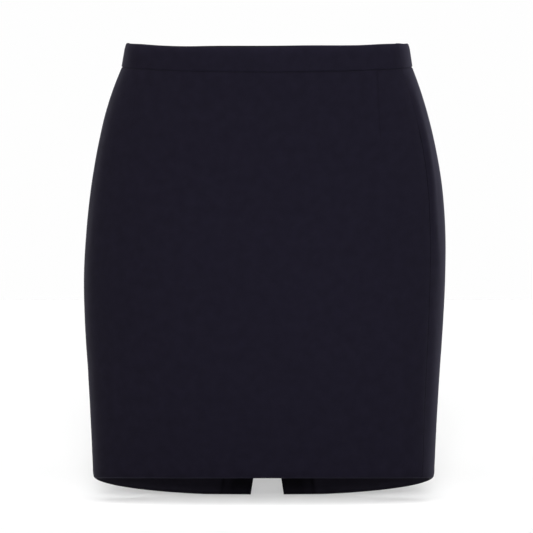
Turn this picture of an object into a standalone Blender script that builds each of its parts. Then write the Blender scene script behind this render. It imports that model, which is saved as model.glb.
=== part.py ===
"""Short pencil skirt, filled out as if worn: panels, waistband and centre-back zip.

The wearer faces -Y, so the wearer's left is +X. The origin is the middle of the waist, about
half way up the waistband. Lengths in the tables are millimetres, and MM turns them to metres.
"""

import math
from collections import namedtuple
from functools import lru_cache

import bmesh
import bpy
import numpy as np
from mathutils import Matrix, Vector

MM = 0.001

# Down the skirt: drops are measured from the waistband's top edge at the wearer's side
BAND_HEIGHT = 24.6
SKIRT_LENGTH = 450.2
HEM_TURN_UP = 36.0
HEM_FOLD = 1.4  # the hem's folded edge rounds in over this height
SLIT_HEIGHT = 120.0

# Cloth
CLOTH = 1.5
BAND_WALL = 2.6
BAND_PROUD = 0.4  # the waistband stands out over the panels by this much
BAND_EDGE_FOLD = 1.2  # the band's folded top edge rounds in over this height
EDGE_ROUNDING = 0.6  # and the folded edges of band and hem by this much
SEAM_GAP = 0.3
FOLD_STEP = 1.4  # a folded-in edge goes from doubled to single cloth over this width
SEAM_MARGIN = 2.5  # the first points in from a side seam
EDGE_MARGIN = 1.2  # and from a centre-back edge

# The figure under the skirt, one row for each level.
# drop: level; half_width, front, back: from the skirt's axis to the cloth's outside;
# swing: the axis's shift along +X; creep: how far the cloth has turned on the figure,
# clockwise seen from above, measured along the cloth; front_creep: how much further it has
# turned over the front and the sides
Section = namedtuple("Section", "drop half_width front back swing creep front_creep")
SECTIONS = [
    Section(24.6, 150.2, 100.8, 109.6, -0.2, 10.0, 3.0),
    Section(45.0, 158.0, 103.5, 114.5, -0.5, 10.0, 3.0),
    Section(70.0, 165.9, 106.5, 120.0, -0.7, 10.0, 3.5),
    Section(100.0, 173.2, 109.5, 126.0, -0.6, 10.0, 4.0),
    Section(140.0, 180.4, 112.5, 132.5, -0.5, 10.0, 6.0),
    Section(190.0, 185.5, 115.0, 136.5, -1.2, 9.5, 8.5),
    Section(240.0, 187.0, 116.0, 135.5, -2.6, 8.5, 9.4),
    Section(290.0, 185.2, 115.5, 132.0, -3.3, 7.0, 9.4),
    Section(340.0, 181.7, 114.5, 128.0, -3.4, 5.5, 9.3),
    Section(395.0, 178.5, 113.0, 124.5, -3.6, 4.5, 9.0),
    Section(450.0, 176.3, 112.0, 122.0, -3.6, 4.2, 8.7),
]
FRONT_CREEP_FROM = 0.6  # of the half girth, in from the middle back, where it is complete
ROUNDNESS = 2.06  # exponent of each level's curve: 2 is an ellipse, more is squarer
BAND_TAPER_SIDE = 0.170  # the waistband narrows upwards by this much for each mm of height
BAND_TAPER_DEPTH = 0.115

# Level edges, as heights at the middle front and middle back compared with the sides
WAIST_TOP = 13.7  # height of the waistband's top edge at the sides
WAIST_DIP_FRONT = 8.1
WAIST_DIP_SHAPE = 1.4  # more keeps the waist high for longer from the sides
WAIST_RISE_BACK = 2.0
HEM_RISE_FRONT = 4.7
HEM_DROP_BACK = 23.4
HEM_DROP_SHAPE = 1.12

# Seams and darts, before the cloth creeps
SIDE_SEAM_AT = 0.948  # of the half width, on the front of the figure
Dart = namedtuple("Dart", "x length intake")
FRONT_DART = Dart(x=125.5, length=80.0, intake=11.0)
BACK_DART = Dart(x=72.0, length=118.0, intake=14.0)
DART_CREASE = 1.1  # depth of the crease along a dart's seam
DART_SHOULDER = 1.9  # the crease's width on each side

# Slit at the centre back
SLIT_GAP = 36.5
SLIT_SHAPE = 1.17  # more keeps the slit narrow for longer below its top
SLIT_BEND = 9.0  # below the slit's top its edges part with a bend over this height
FACING_WIDTH = 33.0
FACING_RISE = 18.0  # the facings run this far above the slit

# Concealed zip
ZIP_END = 190.0  # drop of the coil's lower end
TAPE_TOP = 3.0
TAPE_END = 204.0
TAPE_STEP_TOP = 1.0  # below the waist seam the tapes step out from the waistband's inside
TAPE_STEP = 6.0  # to the panels' over this height
TAPE_INNER_EDGE = 1.0
TAPE_WIDTH = 11.5
TAPE_WALL = 1.0
TAPE_GAP = 0.42  # between a tape and the cloth it is sewn behind
COIL_HALF_WIDTH = 2.2
COIL_WALL = 2.0
SLIDER_DROP = 11.0
SLIDER_SIZE = (8.0, 4.6, 11.0)
SLIDER_ROUNDING = 1.2
SLOT_HALF_WIDTH = 0.95  # the waistband's ends part by this much round the slider's neck
SLOT_REACH = 3.0  # fully, this far above and below it
SLOT_TAPER = 5.0  # and close again over this height
NECK_WIDTH = 1.2
NECK_RADIUS = 1.7
NECK_ROOT = 1.5  # the neck runs this far into the slider's body
EYE_RADIUS = 0.85
PIVOT_OUT = 2.7  # from the panels' outside to the pull tab's pivot
PIN_RADIUS = 0.55
EAR_GAP = 0.3
EAR_WALL = 1.0
EAR_RADIUS = 1.1
EAR_LENGTH = 4.6
TAB_WALL = 1.2
TAB_TOP = 2.4  # from the pivot to the plate's upper edge
TAB_LENGTH = 24.0
TAB_HALF_WIDTHS = (2.2, 3.3)  # at the ears and at the round end
TAB_CLEAR = 0.5  # between the resting tab's end and the cloth
STOP_SIZE = (5.4, 2.4, 3.6)
STOP_ROUNDING = 0.5

BAND_MIDDLE = BAND_HEIGHT / 2
TURN_UP_TOP = SKIRT_LENGTH - HEM_TURN_UP
SLIT_TOP = SKIRT_LENGTH - SLIT_HEIGHT
FACING_TOP = SLIT_TOP - FACING_RISE
BAND_INSIDE = BAND_WALL - BAND_PROUD
BAND_FOOT = BAND_HEIGHT - SEAM_GAP / 2

CURVE_POINTS = 1441  # round one level of the figure
PROBE = 0.5  # a short way along the cloth, to find which way it faces

NAVY_CLOTH = (0.0103, 0.0089, 0.0176)
NAVY_BAND = (0.0123, 0.0103, 0.0203)
BLACK_TAPE = (0.008, 0.008, 0.011)
BLACK_NYLON = (0.010, 0.010, 0.012)
BLACK_ENAMEL = (0.012, 0.012, 0.014)


# ---- the surface that all the cloth follows ----


def level_value(column, drop):
    """A column of SECTIONS at any drop, on a smooth curve through the rows."""
    drops = np.array([row.drop for row in SECTIONS], float)
    values = np.array([getattr(row, column) for row in SECTIONS], float)
    slopes = np.gradient(values, drops)
    drop = min(max(drop, drops[0]), drops[-1])
    k = min(int(np.searchsorted(drops, drop, side="right")) - 1, len(drops) - 2)
    span = drops[k + 1] - drops[k]
    t = (drop - drops[k]) / span
    near = (1 + 2 * t) * (1 - t) ** 2 * values[k] + t * (1 - t) ** 2 * span * slopes[k]
    far = t * t * (3 - 2 * t) * values[k + 1] + t * t * (t - 1) * span * slopes[k + 1]
    return near + far


@lru_cache(maxsize=None)
def level_curve(drop):
    """One level of the skirt: girth from the figure's front, x, y and share of the depth."""
    above = max(BAND_HEIGHT - drop, 0.0)
    half_width = level_value("half_width", drop) - above * BAND_TAPER_SIDE
    front = level_value("front", drop) - above * BAND_TAPER_DEPTH
    back = level_value("back", drop) - above * BAND_TAPER_DEPTH
    angle = np.linspace(-math.pi, math.pi, CURVE_POINTS)
    power = 2 / ROUNDNESS
    across = np.sign(np.sin(angle)) * np.abs(np.sin(angle)) ** power
    along = -np.sign(np.cos(angle)) * np.abs(np.cos(angle)) ** power
    x = half_width * across
    y = np.where(along > 0, back, front) * along
    step = np.hypot(np.diff(x), np.diff(y))
    girth = np.concatenate([[0.0], np.cumsum(step)])
    girth -= girth[len(girth) // 2]
    return girth, x + level_value("swing", drop), y, along, half_width


def half_girth(drop):
    return level_curve(drop)[0][-1]


def girth_at(drop, x, back=False):
    """Girth from the middle front to the place x from the axis, or from the middle back."""
    girth, _, _, _, half_width = level_curve(drop)
    angle = math.asin(min(x / half_width, 1.0) ** (ROUNDNESS / 2))
    if back:
        angle = math.pi - angle
    return float(np.interp(angle, np.linspace(-math.pi, math.pi, CURVE_POINTS), girth))


def edge_height(drop, depth_share):
    """How far a level rises or falls away from the sides, towards the front or the back."""
    front, back = max(-depth_share, 0.0), max(depth_share, 0.0)
    waist = WAIST_RISE_BACK * back - WAIST_DIP_FRONT * front**WAIST_DIP_SHAPE
    hem = HEM_RISE_FRONT * front - HEM_DROP_BACK * back**HEM_DROP_SHAPE
    share = min(max((drop - BAND_HEIGHT) / (SKIRT_LENGTH - BAND_HEIGHT), 0.0), 1.0)
    return waist * (1 - share) + hem * share


def turned(drop, girth):
    """A girth's place on the figure, once the cloth has crept round it."""
    from_back = 1 - abs(girth) / half_girth(drop)
    t = min(max(from_back / FRONT_CREEP_FROM, 0.0), 1.0)
    front_share = t * t * (3 - 2 * t)
    creep = level_value("creep", drop) + front_share * level_value("front_creep", drop)
    return girth - creep


def surface(drop, girth):
    curve, x, y, depth, _ = level_curve(drop)
    place, around = turned(drop, girth), 2 * curve[-1]
    x, y, depth = (float(np.interp(place, curve, v, period=around)) for v in (x, y, depth))
    return Vector((x, y, WAIST_TOP - drop + edge_height(drop, depth)))


def outward(drop, girth):
    down = surface(drop + PROBE, girth) - surface(drop - PROBE, girth)
    around = surface(drop, girth + PROBE) - surface(drop, girth - PROBE)
    return down.cross(around).normalized()


def on_cloth(drop, girth, out=0.0):
    """A point of the skirt's outside, moved out by a distance: in metres."""
    return (surface(drop, girth) + outward(drop, girth) * out) * MM


# ---- seam lines, as girths on a level ----


def side_seam(drop):
    return girth_at(drop, SIDE_SEAM_AT * level_curve(drop)[4])


def front_dart(drop):
    return girth_at(drop, FRONT_DART.x)


def back_dart(drop):
    return girth_at(drop, BACK_DART.x, back=True)


def dart_depth(dart, drop):
    """1 at the waist seam, nothing from the dart's point down."""
    return max(1 - (drop - BAND_HEIGHT) / dart.length, 0.0)


def dart_intake(dart, drop):
    return DART_SHOULDER + (dart.intake - DART_SHOULDER) * dart_depth(dart, drop)


def slit_half_gap(drop):
    below = max(drop - SLIT_TOP, 0.0) / SLIT_HEIGHT
    return SEAM_GAP / 2 + SLIT_GAP / 2 * below**SLIT_SHAPE


def slot_half_gap(drop):
    """The waistband's centre-back ends, parted round the slider's neck."""
    beyond = (abs(drop - SLIDER_DROP) - SLOT_REACH) / SLOT_TAPER
    open_share = 1 - min(max(beyond, 0.0), 1.0)
    return SEAM_GAP / 2 + (SLOT_HALF_WIDTH - SEAM_GAP / 2) * open_share


# ---- scene, materials and general builders ----


def clear_scene():
    for obj in list(bpy.data.objects):
        bpy.data.objects.remove(obj, do_unlink=True)


def new_collection(name):
    collection = bpy.data.collections.new(name)
    bpy.context.scene.collection.children.link(collection)
    return collection


def new_material(name, colour, roughness, metallic=0.0):
    material = bpy.data.materials.new(name)
    material.use_nodes = True
    shader = material.node_tree.nodes["Principled BSDF"]
    shader.inputs["Base Color"].default_value = (*colour, 1.0)
    shader.inputs["Roughness"].default_value = roughness
    shader.inputs["Metallic"].default_value = metallic
    material.diffuse_color = (*colour, 1.0)
    return material


def new_object(name, mesh, collection, material=None):
    obj = bpy.data.objects.new(name, mesh)
    collection.objects.link(obj)
    if material:
        mesh.materials.append(material)
    return obj


def cloth_wall(name, drops, columns, out, wall, collection, material, doubled=None):
    """A piece of cloth lofted through the skirt's levels and given its thickness inwards.

    columns(drop) gives the girths of a level's points, out(drop, column) how far each stands
    off the skirt's outside, and doubled(drop, column) says where the wall is twice as thick.
    """
    mesh = bpy.data.meshes.new(name)
    shape = bmesh.new()
    rows, thick = [], []
    for drop in drops:
        girths = columns(drop)
        rows.append(
            [shape.verts.new(on_cloth(drop, g, out(drop, k))) for k, g in enumerate(girths)]
        )
        thick += [1.0 if doubled and doubled(drop, k) else 0.5 for k in range(len(girths))]
    for upper, lower in zip(rows, rows[1:]):
        for k in range(len(upper) - 1):
            shape.faces.new((upper[k], lower[k], lower[k + 1], upper[k + 1]))
    shape.to_mesh(mesh)
    shape.free()
    obj = new_object(name, mesh, collection, material)
    group = obj.vertex_groups.new(name="cloth_layers")
    for k, weight in enumerate(thick):
        group.add([k], weight, "REPLACE")
    solid = obj.modifiers.new("thickness", "SOLIDIFY")
    solid.thickness = 2 * wall * MM
    solid.offset = -1.0
    solid.vertex_group = group.name


def levels(start, stop, count, crowding=1.0):
    """Drops from start to stop; crowding above 1 brings them together near the start."""
    return [start + (stop - start) * (k / count) ** crowding for k in range(count + 1)]


def stations(places, counts):
    """Girths from place to place, with so many equal steps in each stretch."""
    girths = [places[0]]
    for start, stop, count in zip(places, places[1:], counts):
        girths += list(np.linspace(start, stop, count + 1)[1:])
    return girths


# ---- panels ----


def panel_drops():
    """Every panel's levels: close at the darts, at the folded-in edges and at the slit's top."""
    fold = FOLD_STEP / 2
    drops = levels(BAND_HEIGHT + SEAM_GAP / 2, FACING_TOP - fold, 18, crowding=1.25)
    drops += [FACING_TOP + fold, SLIT_TOP]
    drops += levels(SLIT_TOP + SLIT_BEND, TURN_UP_TOP - fold, 4)
    drops += levels(TURN_UP_TOP + fold, SKIRT_LENGTH - HEM_FOLD, 2)
    return drops + [SKIRT_LENGTH]


def hem_rounding(drop):
    return -EDGE_ROUNDING if drop >= SKIRT_LENGTH else 0.0


def in_turn_up(drop):
    return drop > TURN_UP_TOP


# A level's points, as counts of equal steps between the stations of front_girths and back_girths
FRONT_STEPS = (1, 4, 1, 1, 14, 1, 1, 4, 1)
FRONT_DART_SEAMS = (6, 22)
BACK_STEPS = (1, 8, 1, 1, 4, 1, 3, 1)
BACK_DART_SEAM = 10
FACING_EDGE = 15


def front_girths(drop):
    """From the right side seam to the left one, with a station at each side of each dart."""
    seam = side_seam(drop) - SEAM_GAP / 2
    dart = front_dart(drop)
    half = [seam, seam - SEAM_MARGIN, dart + DART_SHOULDER, dart]
    half.append(dart - dart_intake(FRONT_DART, drop))
    return stations([-g for g in half] + half[::-1], FRONT_STEPS)


def back_girths(drop, side, half_gap):
    """One back, from its side seam to the centre back; side is 1 for left, -1 for right."""
    seam = side_seam(drop) + SEAM_GAP / 2
    edge = half_girth(drop) - half_gap
    dart = back_dart(drop)
    facing = edge - FACING_WIDTH
    places = [seam, seam + SEAM_MARGIN, dart - DART_SHOULDER, dart]
    places += [dart + dart_intake(BACK_DART, drop), facing, facing + FOLD_STEP]
    places += [edge - EDGE_MARGIN, edge]
    girths = stations(places, BACK_STEPS)
    return girths if side > 0 else [-g for g in reversed(girths)]


def back_number(column, side):
    """A back panel's column counted from its side seam."""
    return column if side > 0 else sum(BACK_STEPS) - column


def side_name(name, side):
    return name + ("_left" if side > 0 else "_right")


def build_front_panel(collection, material):
    def out(drop, column):
        crease = dart_depth(FRONT_DART, drop) if column in FRONT_DART_SEAMS else 0.0
        return hem_rounding(drop) - DART_CREASE * crease

    def doubled(drop, column):
        fold = column in FRONT_DART_SEAMS and dart_depth(FRONT_DART, drop) > 0
        return in_turn_up(drop) or fold

    cloth_wall(
        "front_panel", panel_drops(), front_girths, out, CLOTH, collection, material, doubled
    )


def build_back_panel(side, collection, material):
    def out(drop, column):
        at_dart = back_number(column, side) == BACK_DART_SEAM
        crease = dart_depth(BACK_DART, drop) if at_dart else 0.0
        return hem_rounding(drop) - DART_CREASE * crease

    def doubled(drop, column):
        place = back_number(column, side)
        fold = place == BACK_DART_SEAM and dart_depth(BACK_DART, drop) > 0
        facing = place > FACING_EDGE and drop > FACING_TOP
        return in_turn_up(drop) or fold or facing

    def girths(drop):
        return back_girths(drop, side, slit_half_gap(drop))

    name = side_name("back_panel", side)
    cloth_wall(name, panel_drops(), girths, out, CLOTH, collection, material, doubled)


# ---- waistband ----


def build_waistband(name, girths, drops, collection, material):
    """The band's points follow the panels' below it, a little further out."""

    def out(drop, column):
        return BAND_PROUD - (EDGE_ROUNDING if drop == 0.0 else 0.0)

    def doubled(drop, column):
        return True

    cloth_wall(name, drops, girths, out, BAND_WALL / 2, collection, material, doubled)


def build_front_band(collection, material):
    drops = [0.0, BAND_EDGE_FOLD, BAND_MIDDLE, BAND_FOOT]
    build_waistband("waistband_front", front_girths, drops, collection, material)


def build_back_band(side, collection, material):
    def girths(drop):
        return back_girths(drop, side, slot_half_gap(drop))

    slot = SLOT_REACH + SLOT_TAPER
    drops = [0.0, BAND_EDGE_FOLD, SLIDER_DROP - slot, SLIDER_DROP - SLOT_REACH]
    drops += [SLIDER_DROP + SLOT_REACH, SLIDER_DROP + slot, BAND_FOOT]
    build_waistband(side_name("waistband_back", side), girths, drops, collection, material)


# ---- zip ----


def tape_outside(drop):
    """How far in a tape's outer face lies: it clears the waistband, then steps to the panel."""
    share = min(max((drop - BAND_HEIGHT - TAPE_STEP_TOP) / TAPE_STEP, 0.0), 1.0)
    return BAND_INSIDE * (1 - share) + CLOTH * share + TAPE_GAP


def coil_outside(drop):
    return tape_outside(drop) + TAPE_WALL + SEAM_GAP


def zip_drops(start, end):
    """Levels that the tapes and the coil share, so that they run side by side."""
    step_top = BAND_HEIGHT + TAPE_STEP_TOP
    shared = [step_top, *levels(step_top + TAPE_STEP, ZIP_END, 8, crowding=1.2)]
    shared.append((ZIP_END + TAPE_END) / 2)
    return [start, *[drop for drop in shared if start < drop < end], end]


def build_tape(side, collection, material):
    def columns(drop):
        middle = half_girth(drop)
        inner, outer = TAPE_INNER_EDGE, TAPE_INNER_EDGE + TAPE_WIDTH
        if side > 0:
            return [middle - outer, middle - (inner + outer) / 2, middle - inner]
        return [inner - middle, (inner + outer) / 2 - middle, outer - middle]

    def out(drop, column):
        return -tape_outside(drop)

    drops = zip_drops(TAPE_TOP, TAPE_END)
    cloth_wall(
        side_name("zip_tape", side), drops, columns, out, TAPE_WALL, collection, material
    )


def build_coil(collection, material):
    def columns(drop):
        middle = half_girth(drop)
        return [middle - COIL_HALF_WIDTH, middle, middle + COIL_HALF_WIDTH]

    def out(drop, column):
        return -coil_outside(drop)

    drops = zip_drops(SLIDER_DROP + SLIDER_SIZE[2] / 2 + SEAM_GAP, ZIP_END)
    cloth_wall("zip_coil", drops, columns, out, COIL_WALL, collection, material)


def seam_frame(drop, out, towards=None):
    """Axes at the centre back: X along the seam's girth, Y out of the cloth, Z up.

    With towards, Z points away from that place instead of along the cloth.
    """
    middle = half_girth(drop)
    origin = on_cloth(drop, middle, out)
    x_axis = surface(drop, middle - PROBE) - surface(drop, middle + PROBE)
    x_axis.z = 0.0
    x_axis.normalize()
    below = towards if towards else on_cloth(drop + PROBE, middle, out)
    z_axis = (origin - below).normalized()
    z_axis = (z_axis - x_axis * z_axis.dot(x_axis)).normalized()
    y_axis = z_axis.cross(x_axis)
    turn = Matrix((x_axis, y_axis, z_axis)).transposed().to_4x4()
    return Matrix.Translation(origin) @ turn


def new_empty(name, frame, collection):
    empty = bpy.data.objects.new(name, None)
    empty.empty_display_size = 0.01
    empty.matrix_world = frame
    collection.objects.link(empty)
    return empty


def rounded_box(name, size, bevel, collection):
    mesh = bpy.data.meshes.new(name)
    shape = bmesh.new()
    bmesh.ops.create_cube(shape, size=1.0)
    bmesh.ops.scale(shape, vec=Vector(size) * MM, verts=shape.verts)
    shape.to_mesh(mesh)
    shape.free()
    obj = new_object(name, mesh, collection)
    edge = obj.modifiers.new("rounding", "BEVEL")
    edge.width = bevel * MM
    edge.segments = 2
    return obj


def cylinder_along_x(name, radius, length, sides, collection):
    mesh = bpy.data.meshes.new(name)
    shape = bmesh.new()
    bmesh.ops.create_cone(
        shape, cap_ends=True, segments=sides, radius1=radius * MM, radius2=radius * MM,
        depth=length * MM, matrix=Matrix.Rotation(math.pi / 2, 4, "Y"),
    )
    shape.to_mesh(mesh)
    shape.free()
    return new_object(name, mesh, collection)


def plate(name, outline, thickness, axes, collection):
    """A flat plate cut to an outline; axes are the directions of the outline's x and y."""
    curve = bpy.data.curves.new(name, "CURVE")
    curve.dimensions = "2D"
    curve.fill_mode = "BOTH"
    curve.extrude = thickness / 2 * MM
    spline = curve.splines.new("POLY")
    spline.points.add(len(outline) - 1)
    for point, (x, y) in zip(spline.points, outline):
        point.co = (x * MM, y * MM, 0.0, 1.0)
    spline.use_cyclic_u = True
    sketch = bpy.data.objects.new(name + "_outline", curve)
    collection.objects.link(sketch)
    depsgraph = bpy.context.evaluated_depsgraph_get()
    mesh = bpy.data.meshes.new_from_object(sketch.evaluated_get(depsgraph))
    bpy.data.objects.remove(sketch, do_unlink=True)
    first, second = Vector(axes[0]), Vector(axes[1])
    turn = Matrix((first, second, first.cross(second))).transposed()
    shape = bmesh.new()
    shape.from_mesh(mesh)
    bmesh.ops.remove_doubles(shape, verts=shape.verts, dist=0.00001)
    bmesh.ops.transform(shape, matrix=turn.to_4x4(), verts=shape.verts)
    bmesh.ops.recalc_face_normals(shape, faces=shape.faces)
    shape.to_mesh(mesh)
    shape.free()
    return new_object(name, mesh, collection)


def bar(reach, radius, steps=8):
    """Outline of a flat bar, rounded about the origin and square at its far end down y."""
    points = []
    for k in range(steps + 1):
        angle = math.pi * k / steps
        points.append((radius * math.cos(angle), radius * math.sin(angle)))
    return points + [(-radius, -reach), (radius, -reach)]


def join_solids(obj, others, cutters, frame, hidden):
    """Unites obj with others and cuts it, in its own axes, then places it in the frame."""
    for other, operation in [(o, "UNION") for o in others] + [(c, "DIFFERENCE") for c in cutters]:
        other.hide_render = True
        other.display_type = "WIRE"
        modifier = obj.modifiers.new(operation.lower(), "BOOLEAN")
        modifier.operation = operation
        modifier.solver = "EXACT"
        modifier.object = other
        other.parent = frame
        for old in list(other.users_collection):
            old.objects.unlink(other)
        hidden.objects.link(other)
    obj.parent = frame


def build_slider(pivot, collection, hidden, material):
    """The body lies behind the tapes and its flat neck comes out between the band's ends."""
    body_face = PIVOT_OUT + coil_outside(SLIDER_DROP)
    body = rounded_box("zip_slider", SLIDER_SIZE, SLIDER_ROUNDING, collection)
    body.data.transform(Matrix.Translation((0, -(body_face + SLIDER_SIZE[1] / 2) * MM, 0)))
    body.data.materials.append(material)
    neck_outline = bar(body_face + NECK_ROOT, NECK_RADIUS)
    neck = plate("slider_neck", neck_outline, NECK_WIDTH, ((0, 0, 1), (0, 1, 0)), collection)
    eye = cylinder_along_x("slider_eye", EYE_RADIUS, 3 * NECK_WIDTH, 20, collection)
    join_solids(body, [neck], [eye], pivot, hidden)
    return body


def build_pull_tab(hinge, collection, hidden, material):
    """A teardrop plate on two ears, whose pin goes through the eye of the slider's neck."""
    top, end = TAB_HALF_WIDTHS
    bend = -TAB_LENGTH + end
    outline = [(-top, -TAB_TOP)]
    for k in range(13):
        angle = math.pi + math.pi * k / 12
        outline.append((end * math.cos(angle), bend + end * math.sin(angle)))
    outline.append((top, -TAB_TOP))
    tab = plate("zip_pull_tab", outline, TAB_WALL, ((1, 0, 0), (0, 0, 1)), collection)
    tab.data.materials.append(material)
    joined = []
    for side in (-1, 1):
        ear_outline = bar(EAR_LENGTH, EAR_RADIUS)
        ear = plate("tab_ear", ear_outline, EAR_WALL, ((0, 1, 0), (0, 0, 1)), collection)
        middle = NECK_WIDTH / 2 + EAR_GAP + EAR_WALL / 2
        ear.data.transform(Matrix.Translation((side * middle * MM, 0, 0)))
        joined.append(ear)
    reach = NECK_WIDTH + 2 * EAR_GAP + EAR_WALL
    joined.append(cylinder_along_x("tab_pin", PIN_RADIUS, reach, 16, collection))
    join_solids(tab, joined, [], hinge, hidden)
    return tab


def build_bottom_stop(collection, material):
    drop = ZIP_END + SEAM_GAP + STOP_SIZE[2] / 2
    out = -(coil_outside(drop) + STOP_SIZE[1] / 2)
    stop = rounded_box("zip_bottom_stop", STOP_SIZE, STOP_ROUNDING, collection)
    stop.data.materials.append(material)
    stop.matrix_world = seam_frame(drop, out)
    return stop


def main():
    clear_scene()
    skirt = new_collection("pencil_skirt")
    hidden = new_collection("cutters")
    cloth = new_material("navy_suiting", NAVY_CLOTH, 0.85)
    band = new_material("navy_suiting_doubled", NAVY_BAND, 0.85)
    tape = new_material("woven_zip_tape", BLACK_TAPE, 0.9)
    nylon = new_material("nylon_coil", BLACK_NYLON, 0.45)
    enamel = new_material("black_enamelled_zinc", BLACK_ENAMEL, 0.35, 0.3)

    build_front_panel(skirt, cloth)
    build_front_band(skirt, band)
    for side in (1, -1):
        build_back_panel(side, skirt, cloth.copy())
        build_back_band(side, skirt, band.copy())
        build_tape(side, skirt, tape.copy())
    build_coil(skirt, nylon)
    build_bottom_stop(skirt, nylon.copy())

    slider_frame = new_empty("slider_frame", seam_frame(SLIDER_DROP, PIVOT_OUT), skirt)
    build_slider(slider_frame, skirt, hidden, enamel)
    tab_end = on_cloth(
        SLIDER_DROP + TAB_LENGTH, half_girth(SLIDER_DROP + TAB_LENGTH), TAB_CLEAR + TAB_WALL / 2
    )
    tab_hinge = new_empty("tab_hinge", seam_frame(SLIDER_DROP, PIVOT_OUT, tab_end), skirt)
    build_pull_tab(tab_hinge, skirt, hidden, enamel.copy())


main()
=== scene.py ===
import math
from functools import lru_cache

import bmesh
import bpy
import numpy as np
from mathutils import Matrix, Vector, noise


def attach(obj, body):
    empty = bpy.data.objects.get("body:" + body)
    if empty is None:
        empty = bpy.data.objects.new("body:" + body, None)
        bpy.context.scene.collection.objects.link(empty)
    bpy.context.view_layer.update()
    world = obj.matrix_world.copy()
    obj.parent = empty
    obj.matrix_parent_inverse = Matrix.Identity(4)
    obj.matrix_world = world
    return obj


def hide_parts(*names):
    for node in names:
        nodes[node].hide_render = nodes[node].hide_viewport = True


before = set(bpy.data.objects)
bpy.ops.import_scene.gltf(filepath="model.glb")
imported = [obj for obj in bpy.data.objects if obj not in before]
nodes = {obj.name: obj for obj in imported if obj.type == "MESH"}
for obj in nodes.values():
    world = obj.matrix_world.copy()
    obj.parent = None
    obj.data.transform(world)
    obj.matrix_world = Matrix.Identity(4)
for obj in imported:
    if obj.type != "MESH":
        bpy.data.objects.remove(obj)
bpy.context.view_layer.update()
mm = 0.001


# The figure that all the cloth lies on. Lengths are mm, drops are measured down from the
# waistband's top edge at the side, girths round a level from the wearer's middle front,
# and the wearer's left is positive.

print("figure")

figure = {
    "bandHeight": 24.6,
    "skirtLength": 450.2,
    "turnUp": 36.0,
    "slitHeight": 120.0,
    "slitGap": 35.3,
    "slitShape": 1.17,  # more keeps the slit narrow for longer
    "facingWidth": 33.0,
    "facingRise": 18.0,  # the facings run this far above the slit
    "zipEnd": 190.0,
    "sliderDrop": 11.0,
    "roundness": 2.06,  # exponent of each level's curve: 2 is an ellipse
    "bandTaperSide": 0.158,  # narrower by this much for each mm up the waistband
    "bandTaperDepth": 0.115,
    "bandLean": 0.012,  # and leaning this much to the wearer's left
    "waistTop": 13.7,  # height of the waistband's top edge at the sides
    "waistDipFront": 8.1,
    "waistDipShape": 1.4,
    "waistRiseBack": 2.0,
    "waistLean": 0.007,  # in front it climbs this much for each mm to the wearer's left
    "seamDipFront": 0.9,  # the waist seam dips this much more in front than the top edge
    "seamDipBy": 0.5,  # in full from this share of the depth on
    "hemRiseFront": 4.7,
    "hemDropBack": 23.3,
    "hemDropShape": 1.12,
    "hemLiftSlit": 0.8,  # the hem lies this much higher beside the slit
    "hemLiftFrom": 0.93,  # beyond this share of the depth
    "sideSeamAt": 0.956,  # of the half width
    "frontCreepFrom": 0.6,  # of the half girth, in from the middle back
}
levels = {
    "drop": [24.6, 45, 70, 100, 140, 190, 240, 290, 340, 395, 450],
    "halfWidth": [150.2, 158.0, 165.9, 173.2, 180.4, 185.5, 187.0, 185.3, 182.0, 178.8, 176.2],
    "front": [100.8, 103.5, 106.5, 109.5, 112.5, 115.0, 116.0, 115.5, 114.5, 113.0, 112.0],
    "back": [109.6, 114.5, 120.0, 126.0, 132.5, 136.5, 135.5, 132.0, 128.0, 124.5, 122.0],
    "swing": [-0.2, -0.5, -0.7, -0.6, -0.5, -1.2, -2.6, -3.3, -3.4, -3.6, -3.6],  # of the axis, on x
    "creep": [10.0, 10.0, 10.0, 10.0, 10.0, 9.5, 8.5, 7.0, 5.3, 4.0, 3.6],  # cloth turned round
    "frontCreep": [3.0, 3.0, 3.5, 4.0, 6.0, 8.5, 9.4, 9.4, 9.3, 9.0, 8.7],  # and further in front
}
topWaves = {  # the waistband's top edge isn't quite even: rises and dips by their place on x
    "x": [-134, -92, 45, 118, 143],
    "height": [0.45, -0.95, 0.4, 0.3, -0.8],
    "width": [12, 30, 30, 12, 5],
}
turnUpTop = figure["skirtLength"] - figure["turnUp"]
slitTop = figure["skirtLength"] - figure["slitHeight"]
facingTop = slitTop - figure["facingRise"]
curvePoints = 1441
probe = 0.5  # a short way along the cloth, to find which way it faces


def ramp(value, start, stop):
    t = np.clip((value - start) / (stop - start), 0.0, 1.0)
    return t * t * (3 - 2 * t)


def levelValue(column, drop):
    drops, values = levels["drop"], levels[column]
    slopes = np.gradient(values, drops)
    drop = min(max(drop, drops[0]), drops[-1])
    k = min(int(np.searchsorted(drops, drop, side="right")) - 1, len(drops) - 2)
    span = drops[k + 1] - drops[k]
    t = (drop - drops[k]) / span
    near = (1 + 2 * t) * (1 - t) ** 2 * values[k] + t * (1 - t) ** 2 * span * slopes[k]
    far = t * t * (3 - 2 * t) * values[k + 1] + t * t * (t - 1) * span * slopes[k + 1]
    return near + far


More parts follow.
